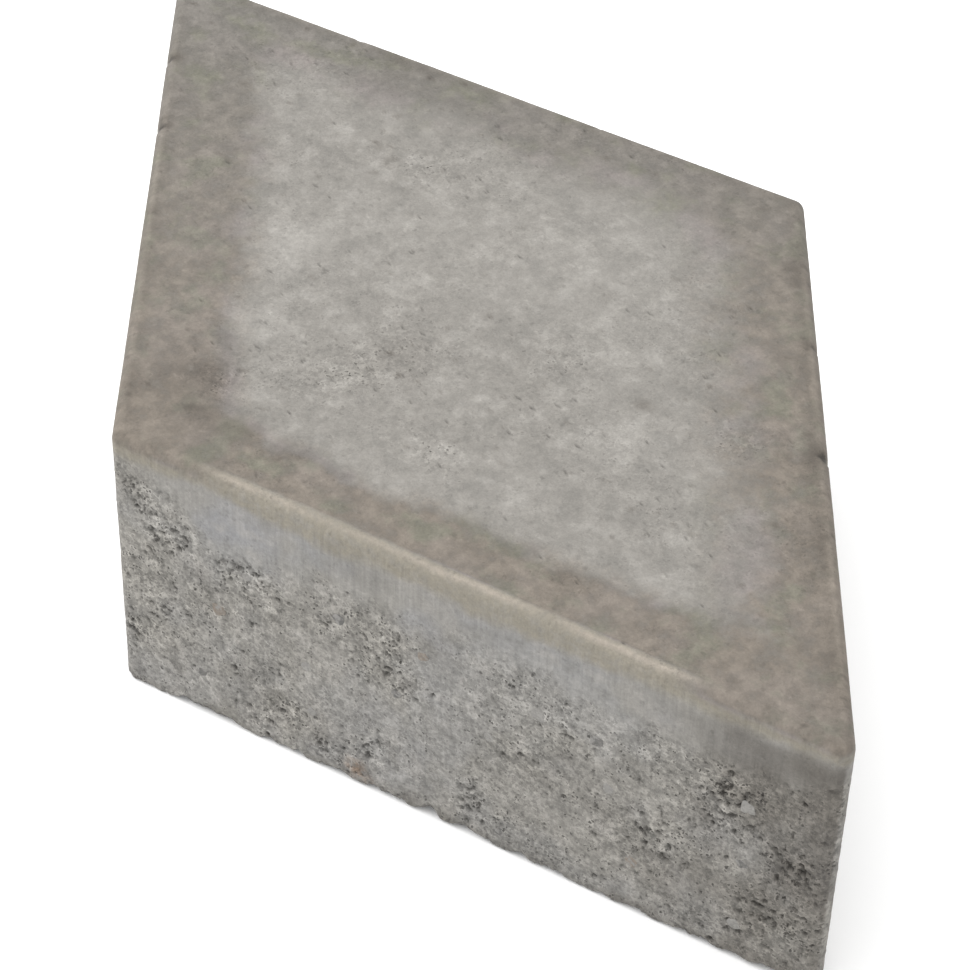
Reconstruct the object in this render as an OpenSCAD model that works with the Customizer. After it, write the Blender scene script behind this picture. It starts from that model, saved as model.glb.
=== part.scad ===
// Diamond-shaped concrete paving block, pressed in one mould from two mixes.
// A fine face mix forms the walking surface and its worn arris. A coarse core mix carries the load, and the
// largest stone chips of that mix lie flush in the four upright sides, where the mould wall stopped them.
// The frame: origin at the middle of the underside, +X along the long diagonal, +Y along the short one, +Z up.

/* [Block] */
// Length of one side of the diamond, between its sharp corners
side_length = 190; // [150:1:230]
// Thickness of the whole block
block_height = 80; // [60:1:100]
// Angle at the two acute corners
acute_angle = 60; // [50:1:80]

/* [Edges] */
// Radius of the four upright corners, seen from above
corner_radius = 3.2; // [3.2:0.1:8]
// Radius of the rounded arris round the top face
arris_radius = 3; // [1:0.1:3]

/* [Layers] */
// Thickness of the fine face mix
face_layer_height = 15; // [8:1:25]

/* [Stone chips] */
// Size of the largest chip
chip_size = 5.5; // [3:0.1:7]
// Size of the smallest chip, as a share of the largest
smallest_chip = 0.6; // [0.4:0.05:1]
// Distance along a side from one chip to the next
chip_pitch = 25; // [20:1:60]
// Height from one row of chips to the next
chip_row_pitch = 19; // [16:1:40]
// Number that the scatter of the chips starts from
scatter_start = 41; // [1:1:500]

/* [Hidden] */
$fn = 48;

half_long = side_length * cos(acute_angle / 2);
half_short = side_length * sin(acute_angle / 2);
core_height = block_height - face_layer_height;

// Sharp corners, counter-clockwise from the acute corner on +X
SHARP_CORNERS = [[half_long, 0], [0, half_short], [-half_long, 0], [0, -half_short]];
// Direction of each side as it leaves its corner, so that the block lies on its left
SIDE_TURNS = [180 - acute_angle / 2, 180 + acute_angle / 2, -acute_angle / 2, acute_angle / 2];
SIDES = [0 : 3];

// Middles of the corner posts: the same diamond, moved in by the corner radius
POST_CENTRES = [for (corner = SHARP_CORNERS) corner * (1 - corner_radius / (side_length * sin(acute_angle) / 2))];

// A chip is what two cubes share, one turned within the other, so it has flat broken faces all round
second_cube_turn = [40, 35, 20];
// Side of each cube, as a share of the chip's size
cube_share = 0.78;
// How far the middle of a chip lies behind the mould wall, as a share of its size
chip_depth_share = 0.22;
// Wall that stays between a chip and the end of a side, or the edge of the core
chip_cover = 2.5;
// Share of the free room in its cell that a chip may wander
wander = 0.8;

// Room that the chips have on a side: clear of the round corners, and of the chips of the side next to it
corner_clear = corner_radius / tan(acute_angle / 2) + chip_size + chip_cover;
chip_run = side_length - 2 * corner_clear;
chip_columns = max(1, floor(chip_run / chip_pitch));
chip_rise = core_height - 2 * chip_cover;
chip_rows = max(1, floor(chip_rise / chip_row_pitch));
cell_length = chip_run / chip_columns;
cell_height = chip_rise / chip_rows;

// Kinds of stone, dealt out along the rows in this order
LIGHT = 0;
DARK = 1;
RUST = 2;
DEAL = [LIGHT, DARK, RUST, LIGHT, DARK, LIGHT];

function kind_of(side, row, column) = DEAL[(column + 4 * row + 5 * side + 1) % len(DEAL)];

function seed_of(side, row, column) = scatter_start + column + chip_columns * (row + chip_rows * side);

// One chip: [along the side, up, size, turn about X, turn about Y, turn about Z]
function chip_of(side, row, column) =
    let (draw = rands(-1, 1, 6, seed_of(side, row, column)))
    let (size = chip_size * (smallest_chip + (1 - smallest_chip) * (draw[2] + 1) / 2))
    [
        corner_clear + (column + 0.5) * cell_length + draw[0] * wander * (cell_length - size) / 2,
        chip_cover + (row + 0.5) * cell_height + draw[1] * wander * (cell_height - size) / 2,
        size,
        draw[3] * 180,
        draw[4] * 180,
        draw[5] * 180
    ];

module side_frame(side) {
    translate(SHARP_CORNERS[side]) rotate(SIDE_TURNS[side]) children();
}

// Diamond with rounded corners: what four turned posts span. The child is the section of a post, with its X
// running outwards from the post's middle and its Y running up.
module rounded_diamond() {
    hull() {
        for (centre = POST_CENTRES) translate(centre) rotate_extrude($fn = 32) children();
    }
}

module core_section() {
    square([corner_radius, core_height]);
}

module face_section() {
    translate([0, core_height]) square([corner_radius, face_layer_height - arris_radius]);
    translate([0, core_height]) square([corner_radius - arris_radius, face_layer_height]);
    intersection() {
        translate([corner_radius - arris_radius, block_height - arris_radius]) circle(r = arris_radius);
        translate([corner_radius - arris_radius, block_height - arris_radius]) square(arris_radius);
    }
}

module stone(size, turn) {
    rotate(turn) intersection() {
        cube(size * cube_share, center = true);
        rotate(second_cube_turn) cube(size * cube_share, center = true);
    }
}

module chip_in_place(chip) {
    translate([chip[0], chip[2] * chip_depth_share, chip[1]]) stone(chip[2], [chip[3], chip[4], chip[5]]);
}

// Every chip of one kind, cut off where the mould wall stopped it
module chips(kind) {
    for (side = SIDES, row = [0 : chip_rows - 1], column = [0 : chip_columns - 1]) {
        if (kind_of(side, row, column) == kind) {
            side_frame(side) intersection() {
                chip_in_place(chip_of(side, row, column));
                cube([side_length, chip_size, core_height]);
            }
        }
    }
}

module face_layer() {
    color("darkgray") rounded_diamond() face_section();
}

module core_layer() {
    color("gray") difference() {
        rounded_diamond() core_section();
        for (side = SIDES, row = [0 : chip_rows - 1], column = [0 : chip_columns - 1]) {
            side_frame(side) chip_in_place(chip_of(side, row, column));
        }
    }
}

module light_chips() {
    color("gainsboro") chips(LIGHT);
}

module dark_chips() {
    color("dimgray") chips(DARK);
}

module rust_chips() {
    color("rosybrown") chips(RUST);
}

face_layer();
core_layer();
light_chips();
dark_chips();
rust_chips();
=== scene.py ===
"""Looks of a diamond-shaped concrete paving block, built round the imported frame.

The block is a fine face layer pressed on a coarse core layer, with stone chips that lie flush in its sides.
Each layer is one closed mesh whose walls carry the real relief: grit, open pores, worn arrises and a ragged
lower edge. The chips are separate stones, seated where the frame has them. Lengths are in metres, Z is up.
"""

import logging
import math
from dataclasses import dataclass, field
from enum import Enum

import bmesh
import bpy
import numpy as np
from mathutils import Matrix, Vector


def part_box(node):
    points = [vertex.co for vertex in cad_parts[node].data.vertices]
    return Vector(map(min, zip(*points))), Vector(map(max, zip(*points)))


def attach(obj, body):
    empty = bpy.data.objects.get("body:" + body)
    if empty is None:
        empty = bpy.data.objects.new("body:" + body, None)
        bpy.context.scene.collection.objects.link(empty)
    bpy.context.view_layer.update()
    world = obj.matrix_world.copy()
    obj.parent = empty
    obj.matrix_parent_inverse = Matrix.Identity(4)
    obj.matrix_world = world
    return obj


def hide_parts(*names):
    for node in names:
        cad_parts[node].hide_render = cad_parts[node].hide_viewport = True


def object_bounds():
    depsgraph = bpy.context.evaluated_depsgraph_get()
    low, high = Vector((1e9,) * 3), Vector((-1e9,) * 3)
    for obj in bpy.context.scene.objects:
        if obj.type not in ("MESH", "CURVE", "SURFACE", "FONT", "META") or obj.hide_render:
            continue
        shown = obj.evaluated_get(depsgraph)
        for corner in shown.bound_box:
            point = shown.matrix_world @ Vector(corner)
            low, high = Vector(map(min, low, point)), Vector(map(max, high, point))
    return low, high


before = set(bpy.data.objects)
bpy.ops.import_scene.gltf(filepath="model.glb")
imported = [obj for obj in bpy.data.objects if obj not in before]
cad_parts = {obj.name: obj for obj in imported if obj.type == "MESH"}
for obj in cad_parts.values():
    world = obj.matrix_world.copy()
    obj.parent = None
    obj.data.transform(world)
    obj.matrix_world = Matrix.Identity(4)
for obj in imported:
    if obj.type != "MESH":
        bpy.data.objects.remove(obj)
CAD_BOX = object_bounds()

log = logging.getLogger("paving_block")
MM = 0.001

# Mixing numbers of the cell hash: large odd numbers, and the largest number of 32 bits
SEED_FACTOR = 2654435761
CELL_FACTORS = (374761393, 668265263, 2246822519)
STIR_FACTOR = 1274126177
LARGEST_WORD = 0xFFFFFFFF


# ---------------------------------------------------------------------------------------------- random fields

def hashed(seed: int, *cells: np.ndarray) -> np.ndarray:
    """Gives each whole-numbered cell its own number.

    Args:
        seed: which field the numbers belong to.
        cells: one array of whole numbers for each direction.

    Returns:
        Numbers from 0 to 1, the same on each run.
    """
    mixed = np.full(cells[0].shape, (seed * SEED_FACTOR) & LARGEST_WORD, np.uint32)
    for cell, factor in zip(cells, CELL_FACTORS):
        mixed = (mixed ^ (cell.astype(np.int64).astype(np.uint32) * np.uint32(factor)))
        mixed = (mixed ^ (mixed >> np.uint32(13))) * np.uint32(STIR_FACTOR)
        mixed = mixed ^ (mixed >> np.uint32(16))
    return mixed.astype(np.float64) / float(LARGEST_WORD)


def smooth_step(low: float, high: float, value: np.ndarray) -> np.ndarray:
    """Rises smoothly from 0 at low to 1 at high."""
    share = np.clip((value - low) / (high - low), 0.0, 1.0)
    return share * share * (3.0 - 2.0 * share)


@dataclass(frozen=True)
class Noise:
    """A smooth random field in space.

    Args:
        seed: which field it is.
        size: distance over which it changes.
        octaves: how many finer copies are laid over it.
        stretch: how much longer its patches are along each axis.
    """

    seed: int
    size: float
    octaves: int = 3
    stretch: tuple[float, float, float] = (1.0, 1.0, 1.0)

    def single(self, points: np.ndarray, seed: int, size: float) -> np.ndarray:
        """One octave, from -1 to 1."""
        scaled = points / (size * np.array(self.stretch))
        cell = np.floor(scaled).astype(np.int64)
        share = scaled - cell
        share = share * share * share * (share * (share * 6.0 - 15.0) + 10.0)
        total = np.zeros(len(points))
        for dx in (0, 1):
            for dy in (0, 1):
                for dz in (0, 1):
                    weight = np.abs(1 - dx - share[:, 0]) * np.abs(1 - dy - share[:, 1])
                    weight *= np.abs(1 - dz - share[:, 2])
                    total += weight * hashed(seed, cell[:, 0] + dx, cell[:, 1] + dy, cell[:, 2] + dz)
        return 2.0 * total - 1.0

    def __call__(self, points: np.ndarray) -> np.ndarray:
        """All octaves together, from about -1 to 1."""
        total, weight, reach = np.zeros(len(points)), 1.0, 0.0
        for octave in range(self.octaves):
            total += weight * self.single(points, self.seed + 31 * octave, self.size / 2 ** octave)
            reach += weight
            weight *= 0.55
        return total / reach * 1.6


@dataclass(frozen=True)
class Pits:
    """Hollows scattered over a wall, at most one to each cell of a grid.

    Args:
        seed: which scatter it is.
        cell: side of a grid cell.
        smallest: radius of the smallest hollow.
        largest: radius of the largest.
    """

    seed: int
    cell: float
    smallest: float
    largest: float

    def __call__(self, flat: np.ndarray, chance: np.ndarray) -> np.ndarray:
        """How deep in a hollow each point lies.

        Args:
            flat: points on the wall, laid out flat.
            chance: share of the cells that hold a hollow, at each point.

        Returns:
            0 outside the hollows, up to 1 at their middles.
        """
        cell = np.floor(flat / self.cell).astype(np.int64)
        deepest = np.zeros(len(flat))
        for dx in (-1, 0, 1):
            for dy in (-1, 0, 1):
                cx, cy = cell[:, 0] + dx, cell[:, 1] + dy
                draw = [hashed(self.seed + k, cx, cy) for k in range(4)]
                gap = np.hypot(flat[:, 0] - (cx + draw[0]) * self.cell,
                               flat[:, 1] - (cy + draw[1]) * self.cell)
                radius = self.smallest + (self.largest - self.smallest) * draw[2] ** 2
                inside = np.clip(1.0 - (gap / radius) ** 2, 0.0, 1.0)
                deepest = np.maximum(deepest, np.where(draw[3] < chance, inside, 0.0))
        return deepest


# ------------------------------------------------------------------------------------------ plan of the block

class Side(Enum):
    """The four upright sides, counter-clockwise from the acute corner on +X."""

    BACK_RIGHT = 0
    BACK_LEFT = 1
    FRONT_LEFT = 2
    FRONT_RIGHT = 3


@dataclass(frozen=True)
class Plan:
    """The diamond that both layers share, seen from above.

    Args:
        length: one side, between the sharp corners.
        acute: angle at the two acute corners, in degrees.
        corner: radius of the rounded upright corners.
        arris: radius of the rounded arris round the top.
    """

    length: float = 190 * MM
    acute: float = 60.0
    corner: float = 3.2 * MM
    arris: float = 3.0 * MM

    @property
    def half_width(self) -> float:
        """Distance from the middle to each side."""
        return self.length * math.sin(math.radians(self.acute)) / 2

    def sharp_corner(self, side: Side) -> np.ndarray:
        """The sharp corner that a side starts from."""
        half = math.radians(self.acute) / 2
        reach = self.length * (math.cos(half) if side.value % 2 == 0 else math.sin(half))
        turn = side.value * math.pi / 2
        return reach * np.array([round(math.cos(turn)), round(math.sin(turn))], float)

    def heading(self, side: Side) -> np.ndarray:
        """Unit vector along a side."""
        along = self.sharp_corner(Side((side.value + 1) % 4)) - self.sharp_corner(side)
        return along / np.linalg.norm(along)

    def outward(self, side: Side) -> np.ndarray:
        """Unit vector out of a side."""
        x, y = self.heading(side)
        return np.array([y, -x])

    def outline(self, steps: int) -> tuple[np.ndarray, np.ndarray]:
        """Points round the diamond, with steps of them to a side, from the middle of the corner on +X.

        Args:
            steps: points to a side.

        Returns:
            The points, and the unit vector out of the outline at each.
        """
        points, normals = [], []
        for side in Side:
            before, after = self.outward(Side((side.value - 1) % 4)), self.outward(side)
            beyond = self.outward(Side((side.value + 1) % 4))
            share = 1 - self.corner / self.half_width
            start = self.sharp_corner(side) * share
            stop = self.sharp_corner(Side((side.value + 1) % 4)) * share
            turn_in = math.acos(float(before @ after)) / 2
            turn_out = math.acos(float(after @ beyond)) / 2
            straight = float(np.linalg.norm(stop - start))
            whole = self.corner * (turn_in + turn_out) + straight
            facing = math.atan2(after[1], after[0])
            for step in range(steps):
                run = whole * step / steps
                angle, base = facing, start
                if run < self.corner * turn_in:
                    angle = facing - turn_in + run / self.corner
                elif run > self.corner * turn_in + straight:
                    angle = facing + (run - self.corner * turn_in - straight) / self.corner
                    base = stop
                else:
                    base = start + (run - self.corner * turn_in) * self.heading(side)
                normal = np.array([math.cos(angle), math.sin(angle)])
                points.append(base + self.corner * normal)
                normals.append(normal)
        return np.array(points), np.array(normals)

    def side_of(self, points: np.ndarray) -> np.ndarray:
        """Number of the side that each point is nearest to."""
        reach = np.stack([points[:, :2] @ self.outward(side) for side in Side])
        return reach.argmax(0)

    def laid_flat(self, points: np.ndarray) -> np.ndarray:
        """Unrolls the sides: run round the block and height, in metres."""
        which = self.side_of(points)
        run = np.zeros(len(points))
        for side in Side:
            mine = which == side.value
            along = (points[mine, :2] - self.sharp_corner(side)) @ self.heading(side)
            run[mine] = side.value * self.length + along
        return np.stack([run, points[:, 2]], 1)

    def inset(self, points: np.ndarray) -> np.ndarray:
        """Distance from each point in to each side: one row to a side."""
        return np.stack([self.half_width - points[:, :2] @ self.outward(side) for side in Side])


# ------------------------------------------------------------------------------------------- wear, weather, painted shade and highlight

@dataclass(frozen=True)
class Spot:
    """A soft round spot, placed from one side.

    Args:
        side: the side it is placed from.
        along: distance along that side from its start.
        across: on the walking face the distance from the side, and on a side the height.
        reach: radius of the spot.
        strength: how strong it is. Below zero it darkens or smooths.
    """

    side: Side
    along: float
    across: float
    reach: float
    strength: float


@dataclass(frozen=True)
class Nick:
    """A small broken place on the top arris.

    Args:
        side: the side it is on.
        along: distance from the start of that side.
        reach: its half length.
        depth: how far it is broken away.
    """

    side: Side
    along: float
    reach: float
    depth: float


@dataclass(frozen=True)
class Margin:
    """The stained margin of the walking face along one side.

    Args:
        width: distance from the side at which half of the stain is gone.
        fade: distance over which it goes.
        strength: how strong it is.
        browns: how brown it is at the start and the end of the side, where 0 is grey.
        rim: how much darker its outermost line is, partly stain and partly painted shade, or, below zero, how
            clean it is where the arris carries a painted highlight.
    """

    width: float
    fade: float
    strength: float
    browns: tuple[float, float]
    rim: float


def spots(side: Side, *rows: tuple[float, float, float, float]) -> list[Spot]:
    """Spots of one side, from rows of along, across and reach in millimetres, and strength."""
    return [Spot(side, along * MM, across * MM, reach * MM, strength)
            for along, across, reach, strength in rows]


# A positive rim darkens the arris line, partly as stain and partly as painted shade; below zero it marks the
# side whose arris carries the painted highlight
MARGINS = {
    Side.BACK_RIGHT: Margin(22.5 * MM, 30 * MM, 0.98, (1.35, 0.65), 0.75),
    Side.BACK_LEFT: Margin(21 * MM, 23 * MM, 0.96, (0.4, 0.2), 0.45),
    Side.FRONT_LEFT: Margin(27 * MM, 15 * MM, 0.95, (0.2, 1.1), 0.4),
    Side.FRONT_RIGHT: Margin(17.8 * MM, 9 * MM, 0.98, (1.0, 1.15), -1.0),
}

# How far the smooth skin hangs down each side, in millimetres: distance from the start of the side, and depth
SKIN_DEPTHS = {
    Side.BACK_RIGHT: ((0, 7), (14, 9), (40, 17), (85, 21), (120, 14), (160, 19), (178, 9), (190, 6)),
    Side.BACK_LEFT: ((0, 6), (20, 14), (60, 18), (95, 13), (130, 20), (170, 12), (190, 7)),
    Side.FRONT_LEFT: ((0, 7), (22, 16), (55, 12), (90, 19), (125, 22), (160, 15), (182, 8), (190, 6)),
    Side.FRONT_RIGHT: ((0, 5), (15, 8), (23, 19), (44, 21), (54, 16), (80, 17), (104, 13), (135, 15),
                       (165, 17), (180, 12), (190, 8)),
}

# Pale and dark patches of the walking face
TONES = spots(
    Side.FRONT_RIGHT,
    (-3, 82, 8, 0.9), (-1, 71, 6, 0.4), (8, 50, 8, 0.5), (100, 62, 9, 0.55), (-36, 147, 8, 0.45),
    (4, 125, 3, 0.7),
    (62, 112, 28, 0.25), (20, 100, 22, 0.2), (84, 84, 14, 0.2), (64, 28, 10, 0.2), (88, 30, 12, 0.22),
    (40, 58, 15, -0.22), (72, 68, 13, -0.15), (99, 73, 3.5, -0.6), (71, 105, 3.5, -0.4), (50, 83, 4, -0.3),
    (0, 122, 3.5, -0.5), (-6, 126, 3, -0.35), (14, 17, 7, -0.45), (24, 16, 6, -0.4), (38, 16.5, 7, -0.35),
    (55, 15, 5, -0.25), (112, 14, 6, -0.35), (90, 11, 8, -0.25), (8, 31, 6, -0.35), (2, 42, 5, -0.25),
    (34, 150, 12, -0.15), (-20, 158, 12, -0.2),
) + spots(
    Side.BACK_RIGHT,
    (94, 2.5, 2.4, -0.6), (133, 2.5, 2.5, -0.4), (66, 6, 9, -0.3), (92, 5, 8, -0.3), (160, 4, 7, -0.3),
    (120, 26, 8, -0.15), (30, 8, 8, -0.2),
) + spots(
    Side.FRONT_LEFT,
    (41, 2.5, 2.5, -0.7), (71, 2.5, 2.5, -0.7), (107, 2, 2, -0.5), (168, 15, 13, -0.45), (60, 12, 10, -0.12),
    (112, 14, 8, -0.15),
)

# Rough places of the walking face, where the paste has worn off the sand
ROUGH_PLACES = spots(
    Side.FRONT_RIGHT,
    (34, 48, 13, 1.0), (66, 33, 9, 1.0), (40, 66, 14, 0.7), (122, 74, 9, 0.8), (120, 46, 12, 0.5),
    (10, 28, 6, 0.8),
    (75, 76, 12, 0.5), (8, 124, 6, 0.7), (104, 92, 10, 0.4),
)

# Places where open pores crowd together on the sides, and a few where the paste is tight
PORE_CROWDS = spots(
    Side.FRONT_RIGHT,
    (13, 54, 6, 1.0), (8, 64, 5, 0.5), (33, 53, 6, 1.0), (41, 53, 6, 1.0), (77, 51, 7, 0.7),
    (85, 69, 5, 0.4),
    (157, 47, 7, 0.8), (146, 26, 9, 0.8), (166, 52, 6, 0.6), (180, 36, 8, 0.8), (172, 22, 9, 0.6),
    (171, 12, 8, 0.4),
    (183, 20, 7, 0.7), (12, 34, 9, 0.5), (5, 20, 7, 0.5), (72, 14, 8, 0.45), (112, 34, 9, 0.3),
    (124, 42, 8, 0.35),
    (100, 12, 8, 0.3), (58, 6, 6, 0.5), (26, 28, 8, 0.25), (12, 12, 6, -0.6), (100, 56, 14, -0.5),
    (60, 34, 10, -0.3),
)

# Places where iron in the stone has stained the paste
RUST_STAINS = spots(Side.FRONT_RIGHT, (65.5, 5.5, 3.2, 1.0), (69, 2.5, 2.0, 0.5)) + spots(
    Side.BACK_LEFT, (72, 31, 2.6, 0.7)) + spots(Side.BACK_RIGHT, (131, 18, 2.8, 0.8))

# Places where the lower edge is broken away, by how far up it is
BITES = spots(
    Side.FRONT_RIGHT,
    (85.5, 0, 2.6, 2.6), (111, 0, 2.2, 1.5), (24, 0, 3.0, 0.9), (60, 0, 5.0, 0.8), (46, 0, 2.0, 0.9),
    (140, 0, 3.0, 0.8),
    (166, 0, 2.5, 1.0), (72, 0, 2.0, 0.8), (97, 0, 2.5, 0.7),
)

NICKS = (
    Nick(Side.BACK_RIGHT, 94 * MM, 1.9 * MM, 0.65 * MM),
    Nick(Side.BACK_RIGHT, 133 * MM, 1.6 * MM, 0.4 * MM),
    Nick(Side.FRONT_LEFT, 41 * MM, 1.8 * MM, 0.5 * MM),
    Nick(Side.FRONT_LEFT, 71 * MM, 1.8 * MM, 0.55 * MM),
    Nick(Side.FRONT_LEFT, 107 * MM, 1.2 * MM, 0.3 * MM),
    Nick(Side.BACK_LEFT, 131 * MM, 1.5 * MM, 0.25 * MM),
    Nick(Side.FRONT_RIGHT, 27 * MM, 1.0 * MM, 0.25 * MM),
)


@dataclass
class Weather:
    """What casting, handling and damp did to the block, with painted shade and a painted highlight among it,
    as fields over its surface.

    Args:
        plan: the block's plan.
        top: height of the walking face.
        tan_height: how far the tan band reaches down from the top.
        patchiness: how strong the placed patches of the walking face are.
        grime_and_shade: how strong the darkening at the end of the front-right side is, partly grime and
            partly painted shade.
        darkening_start, darkening_full: where along that side it starts, and where it is full.
        foot: how much darker the sides are towards the bottom.
        corner_shade: how dark the painted shade on the upright edge at the end of that side is.
        corner_reach: distance from that edge at which this is gone.
    """

    plan: Plan
    top: float
    tan_height: float = 6.0 * MM
    patchiness: float = 1.2
    grime_and_shade: float = 0.68
    darkening_start: float = 128 * MM
    darkening_full: float = 188 * MM
    foot: float = 0.3
    corner_shade: float = 0.18
    corner_reach: float = 15 * MM

    def along(self, points: np.ndarray, side: Side) -> np.ndarray:
        """Distance of each point along a side."""
        return (points[:, :2] - self.plan.sharp_corner(side)) @ self.plan.heading(side)

    def gathered(self, points: np.ndarray, given: list[Spot], upright: bool, seed: int) -> np.ndarray:
        """Sum of the spots at each point.

        Args:
            points: where to read them.
            given: the spots.
            upright: whether they lie on the sides, placed by height.
            seed: which noise frays their edges.

        Returns:
            The sum of their strengths.
        """
        total = np.zeros(len(points))
        shift = [2.0 * MM * Noise(seed + k, 8 * MM, 2)(points)
                 + 0.8 * MM * Noise(seed + 7 + k, 2.5 * MM, 2)(points) for k in (0, 1)]
        which = self.plan.side_of(points)
        for side in {spot.side for spot in given}:
            along = self.along(points, side) + shift[0]
            across = points[:, 2] if upright else self.plan.inset(points)[side.value]
            across = across + shift[1]
            here = (which == side.value) if upright else np.ones(len(points), bool)
            for spot in (spot for spot in given if spot.side is side):
                calm = 1 - min(1.0, spot.reach / (9 * MM))
                gap = (along - calm * shift[0] - spot.along) ** 2
                gap += (across - calm * shift[1] - spot.across) ** 2
                gap /= spot.reach ** 2
                total += np.where(here, spot.strength * np.exp(-1.4 * gap), 0)
        return total

    def coarseness(self, points: np.ndarray) -> np.ndarray:
        """0 where a side has its smooth skin of paste, up to 1 where the mix is open."""
        flat, which = self.plan.laid_flat(points), self.plan.side_of(points)
        hang = np.zeros(len(points))
        for side in Side:
            mine = which == side.value
            run, depth = np.array(SKIN_DEPTHS[side], float).T * MM
            hang[mine] = np.interp(flat[mine, 0] - side.value * self.plan.length, run, depth)
        hang += 2.6 * MM * Noise(12, 9 * MM, 2)(points) + 1.1 * MM * Noise(13, 2.8 * MM, 2)(points)
        soft = 12 * MM + 5 * MM * Noise(14, 35 * MM, 2)(points)
        body = np.clip(0.84 + 0.22 * Noise(15, 19 * MM, 2)(points), 0, 1)
        return body * smooth_step(-0.3, 0.7, (self.top - points[:, 2] - hang) / soft)

    def crowding(self, points: np.ndarray) -> np.ndarray:
        """0 to 1: how open pores crowd together on the sides."""
        scattered = 0.85 * np.clip(Noise(21, 14 * MM, 3)(points) - 0.12, 0, 1)
        return np.clip(scattered + self.gathered(points, PORE_CROWDS, True, 22), 0, 1)

    def stain(self, points: np.ndarray) -> tuple[np.ndarray, np.ndarray]:
        """The margin of the walking face: its strength, and how brown it is."""
        wander = 2.8 * MM * Noise(31, 24 * MM, 2)(points) + 1.5 * MM * Noise(32, 7 * MM, 2)(points)
        wander += 0.8 * MM * Noise(33, 2.4 * MM, 2)(points)
        inset = self.plan.inset(points)
        left, weight, brown = np.ones(len(points)), np.full(len(points), 1e-6), np.zeros(len(points))
        for side, margin in MARGINS.items():
            near, far = margin.width - margin.fade / 2, margin.width + margin.fade / 2
            mine = margin.strength * smooth_step(far, near, inset[side.value] + wander)
            share = self.along(points, side) / self.plan.length
            weight += mine
            brown += mine * np.interp(share, (0, 1), margin.browns)
            left *= 1 - mine
        on_top = smooth_step(4.5 * MM, 1.0 * MM, self.top - points[:, 2])
        nearest = inset.min(0)
        # Where the arris carries the painted highlight, its stain is lifted
        clean_lit_crest = smooth_step(4.4 * MM, 2.6 * MM, nearest + 0.1 * wander) * self.crest(points)
        return (1 - left) * on_top * (1 - 0.92 * clean_lit_crest), brown / weight

    def rim(self, points: np.ndarray) -> np.ndarray:
        """The rim strength of each point's side: a darker arris line of stain and painted shade, or below
        zero the side with the painted highlight.
        """
        return np.array([MARGINS[side].rim for side in Side])[self.plan.side_of(points)]

    def crest(self, points: np.ndarray) -> np.ndarray:
        """0 to 1: where an arris is rubbed clean and carries the painted highlight, which stops well short of
        its corners.
        """
        run = self.plan.laid_flat(points)[:, 0] % self.plan.length
        fading = smooth_step(15 * MM, 38 * MM, run) * smooth_step(32 * MM, 50 * MM, self.plan.length - run)
        return fading * (self.rim(points) < 0)

    def tan(self, points: np.ndarray) -> np.ndarray:
        """0 to 1: the tan band on the arris and just under it."""
        depth = self.top - points[:, 2]
        wander = 0.3 * Noise(35, 21 * MM, 2)(points) + 0.12 * Noise(36, 4 * MM, 2)(points)
        low = self.tan_height * (1 + wander)
        inner = smooth_step(5.0 * MM, 2.2 * MM, self.plan.inset(points).min(0))
        return inner * smooth_step(0.5, -0.5, (depth - low) / (3.2 * MM))

    def tone(self, points: np.ndarray) -> np.ndarray:
        """Pale and dark patches, the dark arris line of stain and painted shade, the darkening at the end of
        the front-right side of grime and painted shade, painted shade on the upright edge at its end, and a
        darker foot, from -1 to 1.
        """
        side = Side.FRONT_RIGHT
        depth, nearest = self.top - points[:, 2], self.plan.inset(points).min(0)
        total = self.patchiness * self.gathered(points, TONES, False, 41)
        bent = points[:, :2] + 0.8 * MM * Noise(42, 2.5 * MM, 2)(points)[:, None]
        total -= 0.5 * Pits(43, 6.0 * MM, 0.7 * MM, 1.8 * MM)(bent, np.full(len(points), 0.32))
        total += 0.55 * Pits(47, 6.0 * MM, 0.8 * MM, 2.4 * MM)(bent, np.full(len(points), 0.38))
        # Darker line along the arris: partly stain, partly painted shade
        total -= 0.55 * np.maximum(self.rim(points), 0) * np.exp(-((nearest - 3.6 * MM) / (2.6 * MM)) ** 2)
        total *= smooth_step(3.0 * MM, 0.6 * MM, depth)
        patches = 0.24 * Noise(45, 18 * MM, 2)(points) + 0.16 * Noise(46, 7 * MM, 2)(points)
        total += patches * smooth_step(1.0 * MM, 4.0 * MM, depth)
        run = self.along(points, side) + 6 * MM * Noise(48, 15 * MM, 2)(points)
        # Darkening towards the end of the front-right side: partly grime, partly painted shade
        grime_and_shade = smooth_step(self.darkening_start, self.darkening_full, run)
        grime_and_shade = self.grime_and_shade * grime_and_shade * (0.55 + 0.45 * smooth_step(14 * MM, 34 * MM, points[:, 2]))
        rise = points[:, 2] + 2 * MM * Noise(49, 9 * MM, 2)(points)
        foot = self.foot * smooth_step(6 * MM, 1 * MM, rise)
        below = smooth_step(3 * MM, 9 * MM, depth)
        grime_and_shade = grime_and_shade * (self.plan.side_of(points) == side.value) + foot
        # Painted shade on the upright edge at the end of the front-right side
        gap = np.linalg.norm(points[:, :2] - self.plan.sharp_corner(Side.BACK_RIGHT), axis=1)
        grime_and_shade = grime_and_shade + self.corner_shade * smooth_step(self.corner_reach, 4 * MM, gap)
        return np.clip(total - grime_and_shade * below, -1, 1)

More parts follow.
